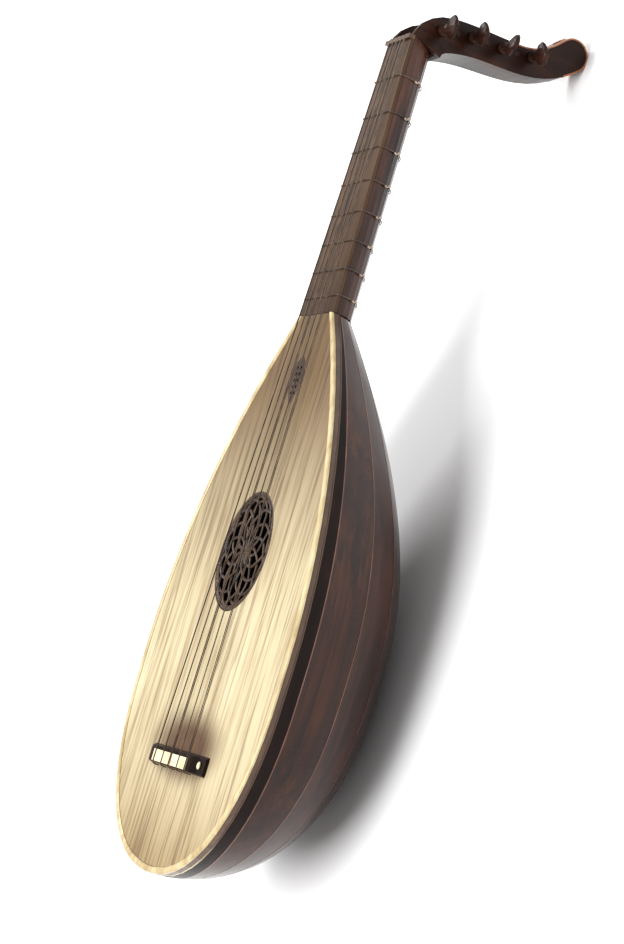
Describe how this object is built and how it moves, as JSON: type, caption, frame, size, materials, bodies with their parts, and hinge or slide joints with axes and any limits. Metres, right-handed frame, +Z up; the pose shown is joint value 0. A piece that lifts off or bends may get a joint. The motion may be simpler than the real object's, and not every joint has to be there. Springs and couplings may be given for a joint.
{
  "type": "lute",
  "caption": "Long-necked lute with a pear-shaped ribbed bowl, pierced rose, tied gut frets, glued bridge and a curved-back pegbox with turning friction pegs.",
  "frame": {"origin": "middle of the bounding box's bottom face, on the floor under the resting lute", "axes": "+Z up; +Y from the tail towards the nut and pegbox; +X across the soundboard. The lute lies on its bowl and the pegbox's tip, soundboard up and tilted about three degrees."},
  "size_m": [0.3088, 0.777, 0.1642],
  "materials": {
    "soundboard_spruce": "thin satin varnish over straight-grained softwood",
    "cream_inlay": "pale edge inlay, satin",
    "brown_strip": "brown wood, satin",
    "carved_rose": "dark stained pierced wood",
    "black_wood": "near-black polished hardwood",
    "bone": "cream bone, lightly polished",
    "raw_wood": "bare softwood inside the body",
    "dark_rib_wood": "dark brown hardwood, glossy",
    "fingerboard_wood": "brown hardwood, worn satin",
    "pegbox_wood": "very dark red-brown hardwood, glossy",
    "gut": "dark brown gut"
  },
  "bodies": {
    "lute": {"soundboard": "soundboard_spruce", "edge_binding": "cream_inlay", "edge_strip": "brown_strip", "edge_line": "cream_inlay", "rose": "carved_rose", "leaf_rose": "carved_rose", "bridge": "black_wood", "bridge_plate": "bone", "bridge_pip": "bone", "brace_1": "raw_wood", "brace_2": "raw_wood", "brace_3": "raw_wood", "neck_block": "raw_wood", "tail_block": "raw_wood", "rib_1": "dark_rib_wood", "rib_2": "dark_rib_wood", "rib_3": "dark_rib_wood", "rib_4": "dark_rib_wood", "rib_5": "dark_rib_wood", "rib_6": "dark_rib_wood", "rib_7": "dark_rib_wood", "rib_8": "dark_rib_wood", "rib_9": "dark_rib_wood", "rim_band": "black_wood", "neck": "dark_rib_wood", "fingerboard": "fingerboard_wood", "nut": "brown_strip", "pegbox_cheek_left": "pegbox_wood", "pegbox_cheek_right": "pegbox_wood", "pegbox_back": "pegbox_wood", "pegbox_end_block": "pegbox_wood", "string_1": "gut", "string_2": "gut", "string_3": "gut", "string_4": "gut", "string_5": "gut", "string_6": "gut", "string_7": "gut"},
    "tuning_peg_1": {"peg_1": "black_wood", "winding_7": "gut"},
    "tuning_peg_2": {"peg_2": "black_wood", "winding_1": "gut"},
    "tuning_peg_3": {"peg_3": "black_wood", "winding_6": "gut"},
    "tuning_peg_4": {"peg_4": "black_wood", "winding_2": "gut"},
    "tuning_peg_5": {"peg_5": "black_wood", "winding_5": "gut"},
    "tuning_peg_6": {"peg_6": "black_wood", "winding_3": "gut"},
    "tuning_peg_7": {"peg_7": "black_wood", "winding_4": "gut"},
    "tied_fret_1": {"fret_1": "gut"},
    "tied_fret_2": {"fret_2": "gut"},
    "tied_fret_3": {"fret_3": "gut"},
    "tied_fret_4": {"fret_4": "gut"},
    "tied_fret_5": {"fret_5": "gut"},
    "tied_fret_6": {"fret_6": "gut"},
    "tied_fret_7": {"fret_7": "gut"},
    "tied_fret_8": {"fret_8": "gut"}
  },
  "joints": [
    {"name": "peg_1_turn", "type": "hinge", "parent": "lute", "child": "tuning_peg_1", "pos_m": [0, 0.33778, 0.13718], "axis": [1, 0, 0], "continuous": true},
    {"name": "peg_2_turn", "type": "hinge", "parent": "lute", "child": "tuning_peg_2", "pos_m": [0, 0.34207, 0.12289], "axis": [1, 0, 0], "continuous": true},
    {"name": "peg_3_turn", "type": "hinge", "parent": "lute", "child": "tuning_peg_3", "pos_m": [0, 0.34516, 0.10854], "axis": [1, 0, 0], "continuous": true},
    {"name": "peg_4_turn", "type": "hinge", "parent": "lute", "child": "tuning_peg_4", "pos_m": [0, 0.34745, 0.09414], "axis": [1, 0, 0], "continuous": true},
    {"name": "peg_5_turn", "type": "hinge", "parent": "lute", "child": "tuning_peg_5", "pos_m": [0, 0.34914, 0.07971], "axis": [1, 0, 0], "continuous": true},
    {"name": "peg_6_turn", "type": "hinge", "parent": "lute", "child": "tuning_peg_6", "pos_m": [0, 0.35133, 0.06531], "axis": [1, 0, 0], "continuous": true},
    {"name": "peg_7_turn", "type": "hinge", "parent": "lute", "child": "tuning_peg_7", "pos_m": [0, 0.35452, 0.05096], "axis": [1, 0, 0], "continuous": true},
    {"name": "fret_1_shift", "type": "slide", "parent": "lute", "child": "tied_fret_1", "axis": [0, 0.9985, 0.0546], "range_m": [-0.002, 0.003]},
    {"name": "fret_2_shift", "type": "slide", "parent": "lute", "child": "tied_fret_2", "axis": [0, 0.9985, 0.0546], "range_m": [-0.002, 0.003]},
    {"name": "fret_3_shift", "type": "slide", "parent": "lute", "child": "tied_fret_3", "axis": [0, 0.9985, 0.0546], "range_m": [-0.002, 0.003]},
    {"name": "fret_4_shift", "type": "slide", "parent": "lute", "child": "tied_fret_4", "axis": [0, 0.9985, 0.0546], "range_m": [-0.002, 0.003]},
    {"name": "fret_5_shift", "type": "slide", "parent": "lute", "child": "tied_fret_5", "axis": [0, 0.9985, 0.0546], "range_m": [-0.002, 0.003]},
    {"name": "fret_6_shift", "type": "slide", "parent": "lute", "child": "tied_fret_6", "axis": [0, 0.9985, 0.0546], "range_m": [-0.002, 0.003]},
    {"name": "fret_7_shift", "type": "slide", "parent": "lute", "child": "tied_fret_7", "axis": [0, 0.9985, 0.0546], "range_m": [-0.002, 0.003]},
    {"name": "fret_8_shift", "type": "slide", "parent": "lute", "child": "tied_fret_8", "axis": [0, 0.9985, 0.0546], "range_m": [-0.002, 0.003]}
  ]
}
